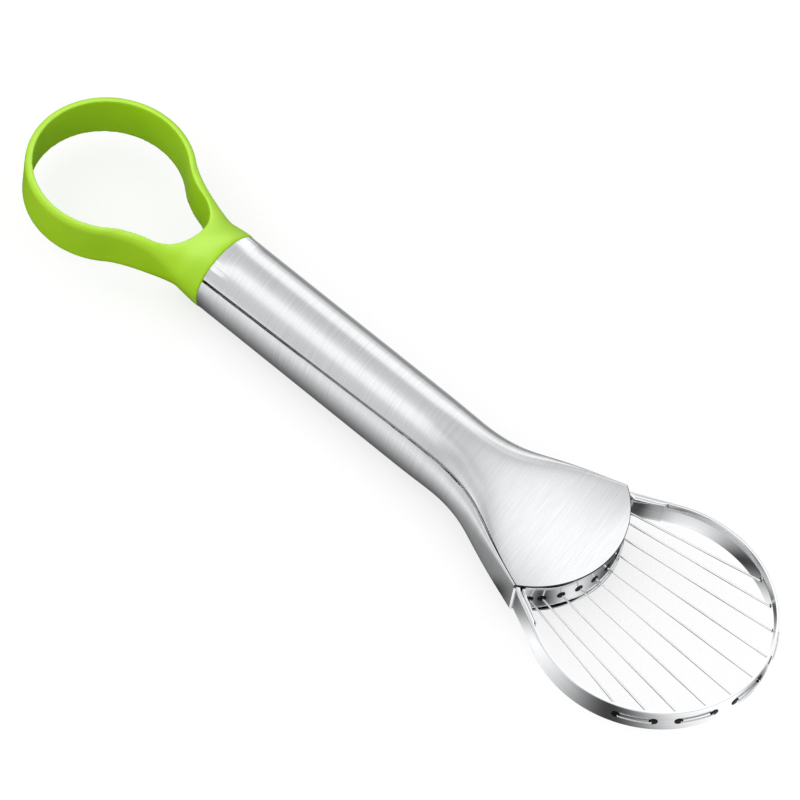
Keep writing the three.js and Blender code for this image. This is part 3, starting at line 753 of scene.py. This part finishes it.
hoopBush = {side: newBush(hoop, side * wires["hoopOffset"]) for side in (-1, 1)}
bridgeBush = {side: newBush(bridge, side * wires["bridgeOffset"]) for side in (-1, 1)}
sleeve = newCrimp()
for i, (onBridge, onHoop) in enumerate(seats):
    number = f"{i + 1:02d}"
    piece = copyPiece(hoopBush[math.copysign(1, onHoop["offset"])])
    place(piece, seatPoint(onHoop, 0), onHoop["angle"])
    finishPiece(piece, f"hoopBush{number}", f"hoop_bush_{number}", "black_bush", 40)
    piece = copyPiece(bridgeBush[math.copysign(1, onBridge["offset"])])
    place(piece, seatPoint(onBridge, 0), onBridge["angle"])
    finishPiece(piece, f"bridgeBush{number}", f"bridge_bush_{number}", "black_bush", 40)
    piece = copyPiece(sleeve)
    place(piece, wireEndPoint(onBridge), onBridge["angle"])
    finishPiece(piece, f"crimpSleeve{number}", f"wire_crimp_{number}", "crimp_sleeve", 40)
for pattern in [*hoopBush.values(), *bridgeBush.values(), sleeve]:
    bpy.data.objects.remove(pattern)
print("stage: bushes and crimps made")


studio = {
    "sky": [  # brightness by angle from straight up towards +Y, in degrees
        (-180, 0.9), (-92, 1.1), (-84, 1.1), (-72, 0.85), (-50, 0.88), (-40, 0.96), (-31, 1.28), (-22, 1.42),
        (-8, 1.42), (2, 1.12), (12, 0.92), (28, 0.82), (40, 0.84), (46, 1.15), (52, 1.42), (71, 1.48), (78, 1.28),
        (86, 0.95), (94, 0.72), (180, 0.9)],
    "room": [  # the same for the plain light that falls on plastic and floor
        (-180, 0.55), (-90, 1.05), (-60, 1.45), (-20, 1.35), (20, 1.1), (60, 0.75), (90, 0.65), (180, 0.55)],
    "dimBand": (-0.26, -0.1, 0.3), "dimLean": (0, 18),  # the sky dims towards +X: span of x, depth, span of angles
    "turnBand": (-0.26, -0.06), "turnLean": (20, 45, 14),  # and its +Y side turns down there, by up to 14 degrees
    "roomSide": (-0.8, 0.6, 1.3, 0.8),  # more plain light from -X
    "floorSize": 8, "floorDrop": 0.0001, "floorLit": ("#fbfbfb", "#fdfdfd"), "floorBounce": "#989898", "selfLit": 0.7,
}


def bareMaterial(name):
    material = bpy.data.materials.new(name)
    material.use_nodes = True
    material.node_tree.nodes.clear()
    return material, material.node_tree


def makeSky():
    world = bpy.data.worlds.new("studioSky")
    scene.world = world
    world.use_nodes = True
    tree = world.node_tree
    tree.nodes.clear()
    x, y, z = addNode(tree, "SeparateXYZ", [addNode(tree, "TexCoord").outputs["Generated"]]).outputs
    lean = addNode(tree, "Math", [y, z], operation="ARCTAN2")
    fromLean, toLean, angle = (math.radians(a) for a in studio["turnLean"])
    turnX = addNode(tree, "MapRange", [x, *studio["turnBand"]], **soft)
    turnLean = addNode(tree, "MapRange", [lean, fromLean, toLean, 0, angle], **soft)
    turned = addNode(tree, "Math", [turnX, turnLean], operation="MULTIPLY")
    glows = []
    for name, way in (("room", lean), ("sky", addNode(tree, "Math", [lean, turned], operation="SUBTRACT"))):
        share = addNode(tree, "Math", [way, 0.5 / math.pi, 0.5], operation="MULTIPLY_ADD")
        glows.append(addNode(tree, "ValToRGB", [share], [(0.5 + a / 360, v) for a, v in studio[name]]))
    dimStart, dimEnd, depth = studio["dimBand"]
    dimX = addNode(tree, "MapRange", [x, dimStart, dimEnd, 0, depth], **soft)
    dimLean = addNode(tree, "MapRange", [lean, *(math.radians(a) for a in studio["dimLean"]), 1, 0], **soft)
    dim = addNode(tree, "Math", [dimX, dimLean], operation="MULTIPLY")
    room = addNode(tree, "Background", [glows[0], addNode(tree, "MapRange", [x, *studio["roomSide"]], **soft)])
    mirrorSky = addNode(tree, "Background", [glows[1], addNode(tree, "Math", [1, dim], operation="SUBTRACT")])
    rays = addNode(tree, "LightPath").outputs
    lit = addNode(tree, "MixShader", [rays["Is Glossy Ray"], room, mirrorSky])
    seen = addNode(tree, "Background", Color=(1, 1, 1, 1))
    addNode(tree, "OutputWorld", [addNode(tree, "MixShader", [rays["Is Camera Ray"], lit, seen])])


def makeFloor():  # white translucent sheet, lit a little from below: white to the eye, with a soft shadow
    clearSelection()
    bpy.ops.mesh.primitive_plane_add(size=studio["floorSize"], location=(0, 0, -studio["floorDrop"]))
    floor = bpy.context.object
    floor.name = "studioFloor"
    material, tree = bareMaterial("lightTable")
    fibre = grainPattern(tree, (0.6, 0.6, 0.6), detail=3)
    colors = [linearColor(code) for code in studio["floorLit"]]
    tint = addNode(tree, "ValToRGB", [fibre], [(0.3, colors[0]), (0.7, colors[1])])
    paper = addNode(tree, "BsdfDiffuse", [tint])
    glow = addNode(tree, "Emission", Color=(1, 1, 1, 1), Strength=1.0)
    rays = addNode(tree, "LightPath").outputs
    isSeen = addNode(tree, "Math", [rays["Is Camera Ray"], rays["Is Glossy Ray"]], operation="MAXIMUM")
    share = addNode(tree, "Math", [isSeen, studio["selfLit"]], operation="MULTIPLY")
    bounce = addNode(tree, "BsdfDiffuse", Color=linearColor(studio["floorBounce"]))
    lit = addNode(tree, "MixShader", [share, paper, glow])
    addNode(tree, "OutputMaterial", [addNode(tree, "MixShader", [isSeen, bounce, lit])])
    floor.data.materials.append(material)


reflectors = {  # grey and white cards that only reflections see, in millimetres like the pieces
    "tableZ": -11, "tableSpan": (-3500, 3500), "besideSpan": (-330, 330),
    "besideHandle": [  # brightness across the table beside the tube, by y
        (-300, 1.12), (-140, 1.18), (-53, 0.98), (-44.5, 0.9), (-27, 0.645), (-19, 0.43), (-14.3, 0.272),
        (-12.6, 0.215), (-8, 0.11), (8, 0.3),
        (19, 0.68), (29, 0.58), (42, 0.38), (71, 0.36), (133, 0.5), (300, 0.9)],
    "headStart": (110, 122), "headLight": 1.45,
    "barX": 148.6, "barLean": -0.2, "barDark": 0.95, "barLeast": 3,
    "barLeft": (13.2, -0.26), "barRight": (14.6, -0.23),  # width of each half at y = 0, and its change along y
    "shades": [  # round soft shades on the table: x, y, inner and outer radius, depth
        (-42, 0, 32, 50, 0.85), (122, 9, 5.5, 19.5, 0.95), (127.8, -18.2, 0.5, 12.5, 0.95),
        (106.5, -20.5, 0, 6, 0.8), (176, 12, 0, 14, 0.85)],
    "overZ": 30, "headX": (70, 190), "headY": (-40, 70), "headGlow": 1.46,
    "plateCentre": (112, 12.3), "plateStretch": 1.25, "plateFade": (5, 36),
    "hoopCentre": (143, 14.2), "hoopFade": (30, 40),
    "neckZ": 29, "neckX": (60, 125), "neckY": (-40, 100), "neckGlow": 0.3, "neckFade": (0.35, 1),
    "neckShades": [(86, -17, 17, 14, 0.52), (86, 58, 18, 35, 0.55)],  # ovals: x, y, half length, half width, depth
    "loopX": (-95, -9), "loopY": (-30, 48), "loopLight": 4.0, "loopEdge": 12, "loopEnd": 22,
}


def reflectorCard(name, spanX, spanY, z, glowOf):
    clearSelection()
    middle = Vector((sum(spanX) / 2, sum(spanY) / 2, z)) * drawing["scale"] + drawing["origin"]
    bpy.ops.mesh.primitive_plane_add(size=1, location=middle)
    card = bpy.context.object
    card.name = name
    card.scale = ((spanX[1] - spanX[0]) * drawing["scale"], (spanY[1] - spanY[0]) * drawing["scale"], 1)
    bpy.ops.object.transform_apply(location=True, rotation=True, scale=True)
    material, tree = bareMaterial(name)
    share, strength = glowOf(tree, *toolPlace(tree)[:2])
    glow = addNode(tree, "Emission", {"Strength": strength}, Color=(1, 1, 1, 1))
    clear = addNode(tree, "BsdfTransparent")
    addNode(tree, "OutputMaterial", [addNode(tree, "MixShader", [share, clear, glow])])
    card.data.materials.append(material)
    card.visible_camera = card.visible_diffuse = card.visible_shadow = card.visible_transmission = False


def tableGlow(tree, x, y):  # dark along the handle's outline; a dark bar and round shades under the head
    slope = math.tan(handle["flareAngle"])
    flareX = handle["mouthX"] - (handle["mouthHalf"] - handle["radius"]) / slope
    widening = addNode(tree, "Math", [x, slope, -flareX * slope], operation="MULTIPLY_ADD")
    widening = addNode(tree, "Math", [widening, 0], operation="MAXIMUM")
    fromAxis = addNode(tree, "Math", [y], operation="ABSOLUTE")
    outside = addNode(tree, "Math", [fromAxis, widening], operation="SUBTRACT")
    outside = addNode(tree, "Math", [outside, 0], operation="MAXIMUM")
    fromTube = addNode(tree, "Math", [outside, addNode(tree, "Math", [y], operation="SIGN")], operation="MULTIPLY")
    low, high = reflectors["besideSpan"]
    stops = [((at - low) / (high - low), value) for at, value in reflectors["besideHandle"]]
    beside = addNode(tree, "ValToRGB", [addNode(tree, "MapRange", [fromTube, low, high])], stops)
    barMiddle = addNode(tree, "Math", [y, reflectors["barLean"], reflectors["barX"]], operation="MULTIPLY_ADD")
    fromBar = addNode(tree, "Math", [x, barMiddle], operation="SUBTRACT")
    offBar = []
    for way, (width, change) in ((1, reflectors["barRight"]), (-1, reflectors["barLeft"])):
        half = addNode(tree, "Math", [y, change, width], operation="MULTIPLY_ADD")
        half = addNode(tree, "Math", [half, reflectors["barLeast"]], operation="MAXIMUM")
        aside = addNode(tree, "Math", [fromBar, way], operation="MULTIPLY")
        offBar.append(addNode(tree, "Math", [aside, half], operation="DIVIDE"))
    squared = addNode(tree, "Math", [addNode(tree, "Math", offBar, operation="MAXIMUM"), 2], operation="POWER")
    bar = addNode(tree, "Math", [addNode(tree, "Math", [squared, -1], operation="MULTIPLY")], operation="EXPONENT")
    dark = reflectors["headLight"] * reflectors["barDark"]
    head = addNode(tree, "Math", [bar, -dark, reflectors["headLight"]], operation="MULTIPLY_ADD")
    share = addNode(tree, "MapRange", [x, *reflectors["headStart"]], **soft)
    glow = addNode(tree, "Mix", {0: share, 2: beside, 3: head}, data_type="FLOAT")
    for shadeX, shadeY, inner, outer, depth in reflectors["shades"]:
        off = distanceFrom(tree, x, y, (shadeX, shadeY))
        shade = addNode(tree, "MapRange", [off, inner, outer, 1 - depth, 1], **soft)
        glow = addNode(tree, "Math", [glow, shade], operation="MULTIPLY")
    return 1.0, glow


def headGlow(tree, x, y):  # a white card close over the plate and the hoop, soft at its edges
    stretch, (plateX, plateY) = reflectors["plateStretch"], reflectors["plateCentre"]
    stretched = addNode(tree, "Math", [y, stretch], operation="MULTIPLY")
    fromPlate = distanceFrom(tree, x, stretched, (plateX, plateY * stretch))
    fromHoop = distanceFrom(tree, x, y, reflectors["hoopCentre"])
    over = [addNode(tree, "MapRange", [off, *reflectors[span], 1, 0], **soft)
            for off, span in ((fromPlate, "plateFade"), (fromHoop, "hoopFade"))]
    return addNode(tree, "Math", over, operation="MAXIMUM"), reflectors["headGlow"]


def neckGlow(tree, x, y):  # grey gauze over both flanks of the neck
    share = 0.0
    for shadeX, shadeY, length, width, depth in reflectors["neckShades"]:
        scaled = [addNode(tree, "Math", [v, size], operation="DIVIDE") for v, size in ((x, length), (y, width))]
        off = distanceFrom(tree, *scaled, (shadeX / length, shadeY / width))
        shade = addNode(tree, "MapRange", [off, *reflectors["neckFade"], depth, 0], **soft)
        share = addNode(tree, "Math", [shade, share], operation="MAXIMUM")
    return share, reflectors["neckGlow"]


def loopGlow(tree, x, y):  # a soft box close over the loop, for the sheen on its rim and collar
    edge, (startX, endX), (startY, endY) = (reflectors[name] for name in ("loopEdge", "loopX", "loopY"))
    share = 1.0
    for fadeSpan in ([x, startX, startX + edge], [x, endX - reflectors["loopEnd"], endX, 1, 0],
                     [y, startY, startY + edge], [y, endY - edge, endY, 1, 0]):
        share = addNode(tree, "Math", [addNode(tree, "MapRange", fadeSpan, **soft), share], operation="MULTIPLY")
    return share, reflectors["loopLight"]


makeSky()
makeFloor()
reflectorCard("tableCard", reflectors["tableSpan"], reflectors["tableSpan"], reflectors["tableZ"], tableGlow)
reflectorCard("headCard", reflectors["headX"], reflectors["headY"], reflectors["overZ"], headGlow)
reflectorCard("neckCard", reflectors["neckX"], reflectors["neckY"], reflectors["neckZ"], neckGlow)
reflectorCard("loopCard", reflectors["loopX"], reflectors["loopY"], reflectors["overZ"], loopGlow)
print("stage: studio made")


cameraFit = {  # fitted to the photo's outlines: angles in degrees, shifts and distance in millimetres
    "azimuth": 32.44, "elevation": 54.48, "roll": 11.28, "right": 44.12, "up": -32.40, "distance": 1489.2,
    "lens": 264.7, "sensor": 36,
}


def makeCamera():
    a, e, roll = (math.radians(cameraFit[name]) for name in ("azimuth", "elevation", "roll"))
    levelRight = Vector((math.cos(a), math.sin(a), 0))
    levelUp = Vector((-math.sin(a) * math.sin(e), math.cos(a) * math.sin(e), math.cos(e)))
    back = Vector((math.sin(a) * math.cos(e), -math.cos(a) * math.cos(e), math.sin(e)))
    right = levelRight * math.cos(roll) + levelUp * math.sin(roll)
    up = levelUp * math.cos(roll) - levelRight * math.sin(roll)
    spot = right * cameraFit["right"] + up * cameraFit["up"] + back * cameraFit["distance"]
    data = bpy.data.cameras.new("productCamera")
    data.lens = cameraFit["lens"]
    data.sensor_width = cameraFit["sensor"]
    data.clip_start, data.clip_end = 0.05, 50
    camera = bpy.data.objects.new("productCamera", data)
    scene.collection.objects.link(camera)
    camera.matrix_world = Matrix.Translation(spot * drawing["scale"] + drawing["origin"]) @ Matrix(
        (right, up, back)).transposed().to_4x4()
    scene.camera = camera


makeCamera()
print("stage: camera made")
